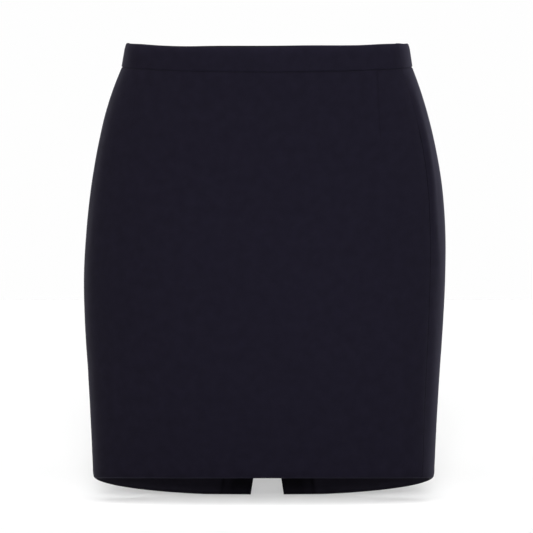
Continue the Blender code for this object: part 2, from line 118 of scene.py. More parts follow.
@lru_cache(maxsize=None)
def levelCurve(drop):
    above = max(figure["bandHeight"] - drop, 0.0)
    halfWidth = levelValue("halfWidth", drop) - above * figure["bandTaperSide"]
    front = levelValue("front", drop) - above * figure["bandTaperDepth"]
    back = levelValue("back", drop) - above * figure["bandTaperDepth"]
    angle = np.linspace(-math.pi, math.pi, curvePoints)
    power = 2 / figure["roundness"]
    across = np.sign(np.sin(angle)) * np.abs(np.sin(angle)) ** power
    depth = -np.sign(np.cos(angle)) * np.abs(np.cos(angle)) ** power
    x, y = halfWidth * across, np.where(depth > 0, back, front) * depth
    girth = np.concatenate([[0.0], np.cumsum(np.hypot(np.diff(x), np.diff(y)))])
    girth -= girth[curvePoints // 2]
    x += levelValue("swing", drop) + above * figure["bandLean"]
    return girth, x, y, depth, halfWidth


def halfGirth(drop):
    return levelCurve(drop)[0][-1]


def girthAt(drop, x, back=False):
    girth, _, _, _, halfWidth = levelCurve(drop)
    angle = math.asin(min(x / halfWidth, 1.0) ** (figure["roundness"] / 2))
    angle = math.pi - angle if back else angle
    return float(np.interp(angle, np.linspace(-math.pi, math.pi, curvePoints), girth))


def sideSeam(drop):
    return girthAt(drop, figure["sideSeamAt"] * levelCurve(drop)[4])


def slitHalfGap(drop):
    below = max(drop - slitTop, 0.0) / figure["slitHeight"]
    return figure["slitGap"] / 2 * below ** figure["slitShape"]


def edgeHeight(drop, x, depth):
    front, back = np.maximum(-depth, 0.0), np.maximum(depth, 0.0)
    dip = figure["waistDipFront"] * front ** figure["waistDipShape"]
    top = figure["waistLean"] * x * front
    for place, height, width in zip(*topWaves.values()):
        top = top + height * np.exp(-(((x - place) / width) ** 2))
    toSeam = min(max(drop / figure["bandHeight"], 0.0), 1.0)
    seamDip = figure["seamDipFront"] * ramp(front, 0.0, figure["seamDipBy"])
    uneven = top * (1 - toSeam) - seamDip * toSeam
    waist = figure["waistRiseBack"] * back - dip + uneven
    hem = figure["hemRiseFront"] * front - figure["hemDropBack"] * back ** figure["hemDropShape"]
    hem = hem + figure["hemLiftSlit"] * ramp(back, figure["hemLiftFrom"], 1.0)
    share = (drop - figure["bandHeight"]) / (figure["skirtLength"] - figure["bandHeight"])
    share = min(max(share, 0.0), 1.0)
    return waist * (1 - share) + hem * share


def turned(drop, girths):
    fromBack = 1 - np.abs(girths) / halfGirth(drop)
    frontShare = ramp(fromBack, 0.0, figure["frontCreepFrom"])
    return girths - levelValue("creep", drop) - frontShare * levelValue("frontCreep", drop)


def surfaceAt(drop, girths):
    girth, x, y, depth, _ = levelCurve(drop)
    place, around = turned(drop, girths), 2 * girth[-1]
    x, y, depth = (np.interp(place, girth, v, period=around) for v in (x, y, depth))
    return np.stack([x, y, figure["waistTop"] - drop + edgeHeight(drop, x, depth)], axis=1)


def clothPoints(drop, girths, out):
    down = surfaceAt(drop + probe, girths) - surfaceAt(drop - probe, girths)
    around = surfaceAt(drop, girths + probe) - surfaceAt(drop, girths - probe)
    facing = np.cross(down, around)
    facing /= np.linalg.norm(facing, axis=1)[:, None]
    return (surfaceAt(drop, girths) + facing * np.asarray(out)[:, None]) * mm


def spaced(places, steps):
    line = [places[0]]
    for start, stop, count in zip(places, places[1:], steps):
        line += list(np.linspace(start, stop, count + 1)[1:])
    return np.array(line)


def rolled(distance, radius):  # how far in a turned edge has rolled at this distance from it
    inside = np.clip(radius - distance, 0.0, radius)
    return radius - np.sqrt(radius**2 - inside**2)


def foldShare(distance, radius):  # a fold's thickness there, as a share of the whole
    inside = np.clip(radius - distance, 0.0, radius) / radius
    return np.sqrt(1 - inside**2)


def bell(distance, width):
    return np.exp(-((distance / width) ** 2))


def ripple(drop, girths, size, seed):
    return np.array([noise.noise(Vector((g / size, drop / size, seed))) for g in girths])


# Soft creases: each runs through places given by girth and drop, in mm. A ridge has depth below 0.

creases = [
    {"path": [(-70, 66), (-20, 56), (28, 52)], "depth": 0.30, "width": 11},
    {"path": [(-40, 92), (58, 86)], "depth": -0.25, "width": 14},
    {"path": [(88, 118), (130, 107), (168, 104)], "depth": 0.30, "width": 13},
    {"path": [(-176, 126), (-104, 118)], "depth": 0.35, "width": 12},
    {"path": [(-82, 176), (20, 184)], "depth": 0.25, "width": 16},
    {"path": [(36, 214), (130, 206)], "depth": -0.25, "width": 15},
    {"path": [(-150, 236), (-60, 224)], "depth": -0.25, "width": 17},
    {"path": [(-128, 330), (-124, 380), (-112, 420)], "depth": 0.30, "width": 15},
    {"path": [(96, 318), (112, 430)], "depth": 0.25, "width": 18},
    {
        "path": [(181, 26), (194, 66), (204, 106), (210, 146), (214, 188), (225, 236)],
        "depth": -1.3,
        "width": 7.0,
    },
    {"path": [(206, 250), (204, 330), (201, 420)], "depth": 0.45, "width": 6},
    {"path": [(-196, 96), (-206, 140), (-210, 190)], "depth": -0.35, "width": 6},
    {"path": [(-252, 168), (-240, 250)], "depth": -0.45, "width": 11},
    {"path": [(300, 74), (350, 64), (392, 60)], "depth": 0.60, "width": 13},
    {"path": [(-386, 82), (-340, 72), (-296, 70)], "depth": 0.50, "width": 12},
    {"path": [(318, 232), (380, 236), (432, 246)], "depth": 0.65, "width": 17},
    {"path": [(-440, 258), (-392, 246), (-338, 240)], "depth": 0.55, "width": 15},
    {"path": [(356, 286), (466, 300)], "depth": -0.50, "width": 16},
    {"path": [(-470, 312), (-372, 296)], "depth": -0.45, "width": 18},
    {"path": [(402, 352), (396, 446)], "depth": 0.55, "width": 18},
    {"path": [(-398, 340), (-404, 446)], "depth": 0.60, "width": 16},
]

creaseTrim = 0.1  # a crease deepens and fades as a half wave does, less this share at each end
unevenness = [  # slow waves all over the cloth, and shorter, shallower ones
    {"height": 0.15, "size": 58.0, "seed": 3.7},
    {"height": 0.05, "size": 21.0, "seed": 9.1},
]


def creaseAt(crease, places):  # its dent there, fading towards both its ends
    path = np.array(crease["path"], float)
    runs = np.diff(path, axis=0)
    lengths = np.linalg.norm(runs, axis=1)
    away, along, before = np.full(len(places), np.inf), np.zeros(len(places)), 0.0
    for start, run, length in zip(path, runs, lengths):
        t = np.clip((places - start) @ run / length**2, 0.0, 1.0)
        distance = np.linalg.norm(places - start - t[:, None] * run, axis=1)
        nearer = distance < away
        away = np.where(nearer, distance, away)
        along = np.where(nearer, (before + t * length) / lengths.sum(), along)
        before += length
    fade = np.sin(np.pi * (creaseTrim + (1 - 2 * creaseTrim) * along))
    return crease["depth"] * bell(away, crease["width"]) * fade


def drape(drop, girths):
    places = np.stack([girths, np.full(len(girths), float(drop))], axis=1)
    out = sum(wave["height"] * ripple(drop, girths, wave["size"], wave["seed"]) for wave in unevenness)
    return out - sum(creaseAt(crease, places) for crease in creases)


print("cloth builders")


def clothPiece(name, drops, girthsAt, shapeAt, wall, innerShade=None):
    # drops run upwards and girths round, so the grid's faces point out of the skirt
    columns = len(girthsAt(drops[0]))
    bpy.ops.mesh.primitive_grid_add(
        x_subdivisions=columns - 1, y_subdivisions=len(drops) - 1, size=1
    )
    piece = bpy.context.object
    piece.name = piece.data.name = name
    points, cut, share, shade, inner = [], [], [], [], []
    for drop in drops:
        girths = girthsAt(drop)
        out, thick, dark = shapeAt(drop, girths)
        points.append(clothPoints(drop, girths, out))
        cut.append(np.stack([girths * mm, np.full(columns, -drop * mm)], axis=1))
        share.append(np.broadcast_to(thick, columns))
        shade.append(np.broadcast_to(dark, columns))
        innerDark = innerShade(drop, girths) if innerShade else plainInnerShade(drop)
        inner.append(np.broadcast_to(innerDark, columns))
    mesh = piece.data
    mesh.vertices.foreach_set("co", np.concatenate(points).ravel())
    cut = np.concatenate(cut)
    corner = np.zeros(len(mesh.loops), int)
    mesh.loops.foreach_get("vertex_index", corner)
    mesh.uv_layers[0].name = "cut"
    mesh.uv_layers[0].data.foreach_set("uv", cut[corner].ravel())
    group = piece.vertex_groups.new(name="layers")
    for k, weight in enumerate(np.concatenate(share)):
        group.add([k], float(weight), "REPLACE")
    mesh.update()
    bpy.ops.object.modifier_add(type="SOLIDIFY")
    solid = piece.modifiers[-1]
    solid.thickness = wall * mm
    solid.offset = -1.0
    solid.vertex_group = "layers"
    bpy.ops.object.modifier_apply(modifier=solid.name)
    bpy.ops.object.shade_smooth_by_angle(angle=math.radians(50))
    # Solidify leaves the outer face's points first and then the inner face's
    # the shade attribute carries painted shade and painted light, and wrongSide marks the inner face
    painted = {"shade": shade + inner, "wrongSide": [np.zeros(len(cut)), np.ones(len(cut))]}
    for attribute, rows in painted.items():
        values = np.concatenate(rows).astype(np.float32)
        piece.data.attributes.new(attribute, "FLOAT", "POINT").data.foreach_set("value", values)
    return piece


cloth = {
    "doubled": 3.0,  # two layers, as in the turn-up and the facings
    "single": 0.5,  # share of that
    "thinnest": 0.03,  # share left at the very edge of a fold
    "fold": 2.0,  # a folded edge rounds over this width
    "foldStep": 0.7,  # to each side of a turned-in raw edge, where double goes over to single
    "seamRoll": 1.3,  # a sewn edge over this
    "waistRoll": 2.6,  # a panel turns in under the waistband on this radius
    "waistDive": 2.1,  # and has finished turning this far on, behind the waistband's foot
    "seamOverlap": 0.02,  # sewn edges press into each other by this much
    # seam and dart grooves are painted darker, as painted shade, over this width
    "seamShade": 1.3,
    "seamFlat": 0.15,  # a well pressed stretch of seam shows this share
    "seamOpen": 0.55,  # and a plain one this
    "seamShows": (74.0, 104.0),  # the wearer's left side seam shows below these drops
    "wrongSide": 0.05,  # the inside's shade
    "hemPaintedLight": (0.9, 6.5),  # painted light: the inside is painted paler by this much near the hem, over this height, where light from the floor reaches it
    "facingShade": 1.3,  # the inside of the facings is made darker by this much
    "facingFirst": 0.55,  # share of that at the facing's raw edge
    "facingSecond": (8.0, 11.0),  # the rest comes in between these distances from it
    "facingEdgeShade": (0.2, 1.4),  # painted shade at the foot of the raw edge's step: how far outside the edge, and its width
    "hemCurl": (0.9, 6.0),  # the hem curls in by this much over this height
    "hemPress": 0.16,  # a faint pressed line stands out above the curl
    "hemPressAt": (1.0, 2.2),  # this far above it, and this wide
    "pucker": 0.16,
    "puckerPitch": 7.0,
    "puckerAt": (2.5, 5.0),  # from the seam, and its width
    "waistSeam": 24.3,
    "panelTop": 22.4,  # the panels run on up between the waistband's layers
    "drapeFrom": (24.6, 60.0),  # the drape grows in over these drops
    "drapeBack": (4.0, 40.0),  # and over these distances from the middle back
    "slitBlend": (-3.0, 6.0),  # sewn goes over to open between these drops, from the slit's top
}
singleWall = cloth["doubled"] * cloth["single"]
grid = {  # the cloth's grid is finer this far to each side of a dart, a side seam or a back edge
    "dart": (7.0, 1.8),
    "sideSeam": (7.0, 1.6),
    "backEdge": (6.0, 1.6),
    "slitTop": 12.0,
    "waist": 60.0,  # and above this drop
}


def plainInnerShade(drop):
    paintedLight, height = cloth["hemPaintedLight"]
    # painted light on the inside near the hem
    return cloth["wrongSide"] - paintedLight * bell(figure["skirtLength"] - drop, height)


panelSteps = (6, 11, 2, 25, 6, 6, 2, 84, 14, 7, 3)  # rows between the places below, from the hem up


def panelDrops():
    hem, step, seam = figure["skirtLength"], cloth["foldStep"], cloth["waistSeam"]
    places = [hem, hem - cloth["fold"], turnUpTop + step, turnUpTop - step]
    places += [slitTop + grid["slitTop"], slitTop, facingTop + step, facingTop - step]
    places += [grid["waist"], seam + cloth["waistDive"], seam, cloth["panelTop"]]
    return list(spaced(places, panelSteps))


def panelDrape(drop, girths):
    middleBack = ramp(halfGirth(drop) - np.abs(girths), *cloth["drapeBack"])
    return drape(drop, girths) * ramp(drop, *cloth["drapeFrom"]) * middleBack


def sideRoll(drop, girths, toSeam):  # how far in the side seam's edge rolls, and the painted shade along it
    show = np.where(girths > 0, ramp(drop, *cloth["seamShows"]), 0.0)
    show = cloth["seamFlat"] + (cloth["seamOpen"] - cloth["seamFlat"]) * show
    inside = np.clip(1 - toSeam / (cloth["seamRoll"] * show), 0.0, 1.0)
    roll = cloth["seamRoll"] * show * (1 - np.sqrt(1 - inside**2))
    return roll, bell(toSeam, cloth["seamShade"]) * show


def waistDent(drop):
    toTurn = cloth["waistRoll"] - cloth["waistDive"] + max(drop - cloth["waistSeam"], 0.0)
    return rolled(toTurn, cloth["waistRoll"])


def hemDent(toHem):
    curl, height = cloth["hemCurl"]
    curled = rolled(toHem, cloth["fold"]) + curl * max(1 - toHem / height, 0.0) ** 2
    above, width = cloth["hemPressAt"]
    return curled - cloth["hemPress"] * bell(toHem - height - above, width)


def pucker(drop, girths, distance, seed):
    gather = noise.noise(Vector((drop / cloth["puckerPitch"], seed, 0.5)))
    inset, width = cloth["puckerAt"]
    return cloth["pucker"] * gather * bell(distance - inset, width)


def dartPlace(drop, dart, back=False):
    down = min(max(drop - figure["bandHeight"], 0.0), dart["length"])
    return girthAt(drop, dart["x"] + dart["lean"] * down, back)


dartFades = {
    "seam": 0.3,  # share of the dart's length over which its seam line fades out at the point
    "tuck": 0.6,  # and over which the tuck pressed to one side of it does
    "tuckRise": 1.0,  # the tuck rises over this width beside the seam
    "tuckFall": 4.0,  # and falls over this
}


def dartShape(drop, fromDart, dart, show):  # how far it dents the cloth, and the painted shade along its seam
    left = max(1 - (drop - figure["bandHeight"]) / dart["length"], 0.0)
    seam = bell(fromDart, dart["width"]) * ramp(left, 0.0, dartFades["seam"]) * show
    tuck = dart["tuck"] * ramp(left, 0.0, dartFades["tuck"])
    tuck = tuck * ramp(-fromDart, 0.0, dartFades["tuckRise"])
    tuckEnd = dart["tuckWidth"] * left
    tuck = tuck * (1 - ramp(-fromDart, tuckEnd, tuckEnd + dartFades["tuckFall"]))
    return tuck - dart["depth"] * seam, seam


def fineStrip(middle, reaches):  # places where the grid runs closer together
    far, near = reaches
    return [middle - far, middle - near, middle, middle + near, middle + far]


print("front panel")

frontDart = {
    "x": 122.5,
    "lean": 0.0725,  # outwards for each mm down
    "length": 84.0,
    "depth": 0.22,
    "width": 0.9,
    "tuck": 0.12,
    "tuckWidth": 9.0,
    "shows": {"left": 0.44, "right": 0.2},  # how plain the pressed seam line is: its dent and its painted shade
}
frontSteps = (4, 3, 24, 3, 4, 4, 3, 80, 3, 4, 4, 3, 24, 3, 4)


def frontGirths(drop):
    seam, dart = sideSeam(drop) + cloth["seamOverlap"], dartPlace(drop, frontDart)
    far, near = grid["sideSeam"]
    half = fineStrip(dart, grid["dart"]) + [seam - far, seam - near, seam]
    return spaced([-g for g in reversed(half)] + half, frontSteps)


def frontShape(drop, girths):
    place = np.abs(girths)
    toSeam = sideSeam(drop) + cloth["seamOverlap"] - place
    toHem, toWaist = figure["skirtLength"] - drop, drop - cloth["waistSeam"]
    show = np.where(girths > 0, frontDart["shows"]["left"], frontDart["shows"]["right"])
    dent, dartLine = dartShape(drop, place - dartPlace(drop, frontDart), frontDart, show)
    roll, seamLine = sideRoll(drop, girths, toSeam)
    out = panelDrape(drop, girths) + dent + pucker(drop, girths, toSeam, 2.0)
    out = out - roll - waistDent(drop) - hemDent(toHem)
    layers = 1.0 if drop > turnUpTop else cloth["single"]
    thick = max(layers * foldShare(toHem, cloth["fold"]), cloth["thinnest"])
    # painted shade along the side seam, the waist seam and the dart
    dark = np.maximum(seamLine, bell(toWaist, cloth["seamShade"]))
    return out, thick, np.maximum(dark, dartLine)


frontPiece = clothPiece("frontPanel", panelDrops(), frontGirths, frontShape, cloth["doubled"])


print("back panels")

backDart = {
    "x": 72.0,
    "lean": 0.03,
    "length": 118.0,
    "depth": 0.3,
    "width": 0.9,
    "tuck": 0.14,
    "tuckWidth": 11.0,
    "shows": 0.5,
}
backSteps = (4, 3, 38, 3, 4, 4, 3, 9, 2, 9, 4, 6)


def backEdge(drop):
    return halfGirth(drop) + cloth["seamOverlap"] - slitHalfGap(drop)


def mirrored(girths, side):  # side is 1 for the wearer's left, -1 for the right
    return girths if side > 0 else -girths[::-1]


def backPlaces(drop, edge):
    seam, dart = sideSeam(drop) - cloth["seamOverlap"], dartPlace(drop, backDart, back=True)
    facing, step = edge - figure["facingWidth"], cloth["foldStep"]
    seamFar, seamNear = grid["sideSeam"]
    edgeFar, edgeNear = grid["backEdge"]
    places = [seam, seam + seamNear, seam + seamFar] + fineStrip(dart, grid["dart"])
    return places + [facing - step, facing + step, edge - edgeFar, edge - edgeNear, edge]


def backGirths(side):
    return lambda drop: mirrored(spaced(backPlaces(drop, backEdge(drop)), backSteps), side)


def backShape(drop, girths):
    place = np.abs(girths)
    toSeam, toEdge = place - sideSeam(drop) + cloth["seamOverlap"], backEdge(drop) - place
    toHem, toWaist = figure["skirtLength"] - drop, drop - cloth["waistSeam"]
    above, below = cloth["slitBlend"]
    inSlit = ramp(drop, slitTop + above, slitTop + below)
    fromDart = place - dartPlace(drop, backDart, back=True)
    dent, dartLine = dartShape(drop, fromDart, backDart, backDart["shows"])
    roll, seamLine = sideRoll(drop, girths, toSeam)
    out = panelDrape(drop, girths) + dent + pucker(drop, girths, toSeam, 2.0)
    out = out - roll - waistDent(drop) - hemDent(toHem)
    out = out - (1 - inSlit) * rolled(toEdge, cloth["seamRoll"])
    out = out - inSlit * rolled(toEdge, cloth["fold"])
    facing = (toEdge < figure["facingWidth"]) & (drop > facingTop)
    layers = np.where(facing | (drop > turnUpTop), 1.0, cloth["single"])
    thick = layers * foldShare(toHem, cloth["fold"])
    thick = thick * (1 - inSlit * (1 - foldShare(toEdge, cloth["fold"])))
    # painted shade along the side seam, the waist seam, the sewn middle back and the dart
    paintedShade = np.maximum(seamLine, bell(toWaist, cloth["seamShade"]))
    paintedShade = np.maximum(paintedShade, (1 - inSlit) * bell(toEdge, cloth["seamShade"]))
    return out, np.maximum(thick, cloth["thinnest"]), np.maximum(paintedShade, dartLine)


def backInnerShade(drop, girths):
    toFacing = backEdge(drop) - np.abs(girths) - figure["facingWidth"]
    first, step = cloth["facingFirst"], cloth["foldStep"]
    outside, width = cloth["facingEdgeShade"]
    turning = first * ramp(-toFacing, -step, step)
    turning = turning + (1 - first) * ramp(-toFacing, *cloth["facingSecond"])
    # the facings made darker, and painted shade just outside their raw edge
    shade = cloth["facingShade"] * turning + bell(toFacing - outside, width)
    return plainInnerShade(drop) + shade * ramp(drop, facingTop - step, facingTop + step)


backPieces = [
    clothPiece(
        name, panelDrops(), backGirths(side), backShape, cloth["doubled"], backInnerShade
    )
    for name, side in (("backPanelLeft", 1), ("backPanelRight", -1))
]


print("waistband")

band = {
    "wall": 2.6,
    "proud": 0.4,
    "foot": 24.45,
    "footRoll": 0.9,
    "topFold": 1.3,
    "footFine": 1.4,  # the grid is finer up to this far above the foot
    "topCurl": (1.0, 8.0),  # the top edge leans in by this much over this height
    "topPaintedLight": (0.5, 5.0),  # and is painted paler by this much over this height: a painted highlight where the curl catches light from above
    "paleness": 0.12,  # all of it is made paler than the panels, by this much
    "backRise": 0.35,  # the back stands this much higher
    "seamRoll": 0.3,
    "endRoll": 0.7,
    "ripple": {"height": 0.14, "size": 26.0, "seed": 5.2},
    "slotHalfWidth": 0.95,  # the ends part by this much round the slider's neck
    "slotReach": 3.0,
    "slotTaper": 5.0,
}


def bandDrops(top):
    foot = band["foot"]
    return list(spaced([foot, foot - band["footFine"], top + band["topFold"], top], (5, 12, 7)))


def bandEdge(drop):
    beyond = (abs(drop - figure["sliderDrop"]) - band["slotReach"]) / band["slotTaper"]
    gap = band["slotHalfWidth"] * (1 - min(max(beyond, 0.0), 1.0))
    return halfGirth(drop) - max(gap, -cloth["seamOverlap"])


def bandShape(drop, girths, toTop, toSeam, toEnd):
    curl, height = band["topCurl"]
    wave = band["ripple"]
    out = band["proud"] + wave["height"] * ripple(drop, girths, wave["size"], wave["seed"])
    out = out - rolled(band["foot"] - drop, band["footRoll"]) - rolled(toTop, band["topFold"])
    out = out - curl * max(1 - toTop / height, 0.0) ** 2
    out = out - rolled(toSeam, band["seamRoll"]) - rolled(toEnd, band["endRoll"])
    thick = max(foldShare(toTop, band["topFold"]), cloth["thinnest"])
    # painted shade along the side seam, and a painted highlight along the top edge where the curl faces
    # the light from above
    paintedLight, height = band["topPaintedLight"]
    dark = bell(toSeam, cloth["seamShade"]) * cloth["seamFlat"] - paintedLight * bell(toTop, height)
    # the whole band made paler than the panels
    return out, thick, dark - band["paleness"]


def frontBandShape(drop, girths):
    toSeam = sideSeam(drop) + cloth["seamOverlap"] - np.abs(girths)
    return bandShape(drop, girths, drop, toSeam, np.full(len(girths), np.inf))


def backBandShape(drop, girths):
    toSeam = np.abs(girths) - sideSeam(drop) + cloth["seamOverlap"]
    toTop, toEnd = drop + band["backRise"], bandEdge(drop) - np.abs(girths)
    return bandShape(drop, girths, toTop, toSeam, toEnd)


def backBandGirths(side):
    return lambda drop: mirrored(spaced(backPlaces(drop, bandEdge(drop)), backSteps), side)


frontBand = clothPiece(
    "waistbandFront", bandDrops(0.0), frontGirths, frontBandShape, band["wall"]
)
backBands = [
    clothPiece(
        name, bandDrops(-band["backRise"]), backBandGirths(side), backBandShape, band["wall"]
    )
    for name, side in (("waistbandBackLeft", 1), ("waistbandBackRight", -1))
]


print("zip")

fastener = {
    "tapeTop": 3.0,
    "tapeEnd": 204.0,
    "tapeInner": 1.0,  # from the middle back
    "tapeWidth": 11.5,
    "tapeWall": 0.8,
    "tapeGrid": (9, 90),  # points across and along it
    "tapeGap": 0.45,
    "tapeStep": (27.0, 33.0),  # it steps out from the band's inside to the panels' over these drops
    "coilTop": 16.8,
    "coilDepth": 2.0,  # from the tape's outer face to the coil's middle
    "coilPitch": 1.25,
    "coilHalf": (2.05, 0.85),  # a turn's half width and half height
    "coilWire": 0.26,
    "coilLean": 20,  # each turn leans by this many degrees, one this way and the next that
}


def tapeDepth(drop):
    share = ramp(drop, *fastener["tapeStep"])
    return (band["wall"] - band["proud"]) * (1 - share) + singleWall * share + fastener["tapeGap"]


def tapeGirths(side):
    inner = fastener["tapeInner"]
    outer = inner + fastener["tapeWidth"]

    def girths(drop):
        edge = halfGirth(drop)
        return mirrored(np.linspace(edge - outer, edge - inner, fastener["tapeGrid"][0]), side)

    return girths


def tapeShape(drop, girths):
    return np.full(len(girths), -tapeDepth(drop)), 1.0, 0.0


tapeRows = fastener["tapeGrid"][1]
tapeDrops = list(np.linspace(fastener["tapeEnd"], fastener["tapeTop"], tapeRows))
tapes = [
    clothPiece(name, tapeDrops, tapeGirths(side), tapeShape, fastener["tapeWall"])
    for name, side in (("zipTapeLeft", 1), ("zipTapeRight", -1))
]


def turnOfCoil():  # one turn of the nylon filament, flattened
    half, wire = fastener["coilHalf"], fastener["coilWire"]
    bpy.ops.mesh.primitive_torus_add(
        major_segments=12, minor_segments=4, major_radius=1.0, minor_radius=wire
    )
    turn = bpy.context.object
    bpy.ops.object.mode_set(mode="EDIT")
    bpy.ops.mesh.select_all(action="SELECT")
    bpy.ops.transform.resize(value=(half[0] * mm, half[1] * mm, mm))
    bpy.ops.object.mode_set(mode="OBJECT")
    return turn


def seamAxes(drop, out):
    middle = np.array([halfGirth(drop)])
    place = clothPoints(drop, middle, [out])[0]
    across = surfaceAt(drop, middle - probe)[0] - surfaceAt(drop, middle + probe)[0]
    up = surfaceAt(drop - probe, middle)[0] - surfaceAt(drop + probe, middle)[0]
    across, up = Vector(across).normalized(), Vector(up).normalized()
    facing = up.cross(across)
    return Matrix.Translation(Vector(place)) @ Matrix((across, facing, up)).transposed().to_4x4()


def buildCoil():
    turn = turnOfCoil()
    joined = bmesh.new()
    count = int((figure["zipEnd"] - fastener["coilTop"]) / fastener["coilPitch"])
    for k in range(count):
        drop = fastener["coilTop"] + (k + 0.5) * fastener["coilPitch"]
        place = seamAxes(drop, -tapeDepth(drop) - fastener["coilDepth"])
        lean = math.radians(fastener["coilLean"] if k % 2 else -fastener["coilLean"])
        one = turn.data.copy()
        one.transform(place @ Matrix.Rotation(lean, 4, "Y"))
        joined.from_mesh(one)
        bpy.data.meshes.remove(one)
    joined.to_mesh(turn.data)
    joined.free()
    turn.name = turn.data.name = "zipCoil"
    bpy.ops.object.shade_smooth()
    return turn


coil = buildCoil()


print("seam turnings and overlocking")

sewing = {
    "turning": (0.1, 12.5),  # from the side seam
    "turningWall": 0.9,
    "turningGap": 0.12,
    "turningDrops": (32.0, 410.0),
    "turningGrid": (9, 120),  # points across and along it
    "stitchPitch": 2.4,
    "stitchDepth": (0.9, 4.6),  # from the raw edge
    "thread": 0.14,
    "threadLift": 0.12,
    "endGap": 2.0,  # a row of stitches stops this far from a side seam
    "cornerGap": 1.0,  # and this far from a facing's top corners
}
innerFace = singleWall + sewing["turningGap"]


def turningShape(shapeAt):
    return lambda drop, girths: (shapeAt(drop, girths)[0] - innerFace, 1.0, 0.0)


def turningGirths(side, toward):
    near, far = sewing["turning"]
    columns = sewing["turningGrid"][0]

    def girths(drop):
        seam = sideSeam(drop)
        places = np.linspace(seam + toward * near, seam + toward * far, columns)[::toward]
        return mirrored(places, side)

    return girths


turningRows = sewing["turningGrid"][1]
turningDrops = list(np.linspace(*sewing["turningDrops"][::-1], turningRows))
turnings = [
    clothPiece(
        f"sideTurning{panel}{hand}",
        turningDrops,
        turningGirths(side, toward),
        turningShape(shapeAt),
        sewing["turningWall"],
    )
    for hand, side in (("Left", 1), ("Right", -1))
    for panel, toward, shapeAt in (("Front", -1, frontShape), ("Back", 1, backShape))
]


def onInside(shapeAt, drop, girths):
    out, thick, _ = shapeAt(drop, girths)
    return clothPoints(drop, girths, out - thick * cloth["doubled"] - sewing["threadLift"])


def edgeStitches(shapeAt, drop, start, stop):  # along a level edge, zigzag
    near, far = sewing["stitchDepth"]
    count = int((stop - start) / sewing["stitchPitch"])
    girths = np.linspace(start, stop, 2 * count + 1)
    line = np.empty((len(girths), 3))
    line[::2] = onInside(shapeAt, drop + near, girths[::2])
    line[1::2] = onInside(shapeAt, drop + far, girths[1::2])
    return line


def facingStitches(side):  # down the facing's raw edge, zigzag
    count = int((turnUpTop - facingTop) / sewing["stitchPitch"])
    drops = np.linspace(facingTop + sewing["cornerGap"], turnUpTop, 2 * count + 1)
    line = []
    for k, drop in enumerate(drops):
        inset = sewing["stitchDepth"][k % 2]
        place = backEdge(drop) - figure["facingWidth"] + inset
        line.append(onInside(backShape, drop, np.array([side * place]))[0])
    return np.array(line)


def threadPiece(name, lines):
    curve = bpy.data.curves.new(name, "CURVE")
    curve.dimensions = "3D"
    curve.bevel_depth = sewing["thread"] * mm
    curve.bevel_resolution = 1
    curve.use_fill_caps = True
    for line in lines:
        spline = curve.splines.new("POLY")
        spline.points.add(len(line) - 1)
        spline.points.foreach_set("co", np.hstack([line, np.ones((len(line), 1))]).ravel())
    thread = bpy.data.objects.new(name, curve)
    bpy.context.collection.objects.link(thread)
    bpy.ops.object.select_all(action="DESELECT")
    thread.select_set(True)
    bpy.context.view_layer.objects.active = thread
    bpy.ops.object.convert(target="MESH")
    bpy.ops.object.shade_smooth()
    return bpy.context.object


def backLines(side):
    width, gap = figure["facingWidth"], sewing["cornerGap"]
    seam, edge, topEdge = sideSeam(turnUpTop), backEdge(turnUpTop), backEdge(facingTop)
    ends = sorted((side * (seam + sewing["endGap"]), side * (edge - width)))
    topEnds = sorted((side * (topEdge - width + gap), side * (topEdge - gap)))
    return [
        edgeStitches(backShape, turnUpTop, *ends),
        edgeStitches(backShape, facingTop, *topEnds),
        facingStitches(side),
    ]


frontSeamAtHem = sideSeam(turnUpTop) - sewing["endGap"]
frontThread = threadPiece(
    "frontOverlocking", [edgeStitches(frontShape, turnUpTop, -frontSeamAtHem, frontSeamAtHem)]
)
backThreads = [
    threadPiece(name, backLines(side))
    for name, side in (("backOverlockingLeft", 1), ("backOverlockingRight", -1))
]


print("materials")


def linear(hexColour):
    channels = [int(hexColour[k : k + 2], 16) / 255 for k in (1, 3, 5)]
    return [c / 12.92 if c <= 0.04045 else ((c + 0.055) / 1.055) ** 2.4 for c in channels] + [1.0]


def addNode(tree, kind, settings, links):
    node = tree.nodes.new("ShaderNode" + kind)
    for key, value in settings.items():
        if isinstance(key, int) or key in node.inputs:
            node.inputs[key].default_value = value
        else:
            setattr(node, key, value)
    for key, (source, output) in links.items():
        tree.links.new(source.outputs[output], node.inputs[key])
    return node


def newMaterial(name):
    material = bpy.data.materials.new(name)
    material.use_nodes = True
    material.node_tree.nodes.clear()
    return material, material.node_tree


def surfaced(material, shader):
    addNode(material.node_tree, "OutputMaterial", {}, {"Surface": (shader, "BSDF")})
    return material


wavePitch = 2 * math.pi / 20  # how far apart a Wave texture's bands are at a scale of 1


def waveScale(period):  # for a Wave texture whose bands are this many mm apart
    return wavePitch / (period * mm)


def noiseScale(size):  # for a Noise texture whose blotches are about this many mm across
    return 1 / (size * mm)


def twoTone(tree, finish, share):  # between a material's colour and its light one
    colours = {6: linear(finish["colour"]), 7: linear(finish["light"])}
    return addNode(tree, "Mix", {"data_type": "RGBA", **colours}, {0: share})


def raised(tree, finish, strength, height):
    settings = {"Strength": strength, "Distance": finish["relief"] * mm}
    return addNode(tree, "Bump", settings, {"Height": height})


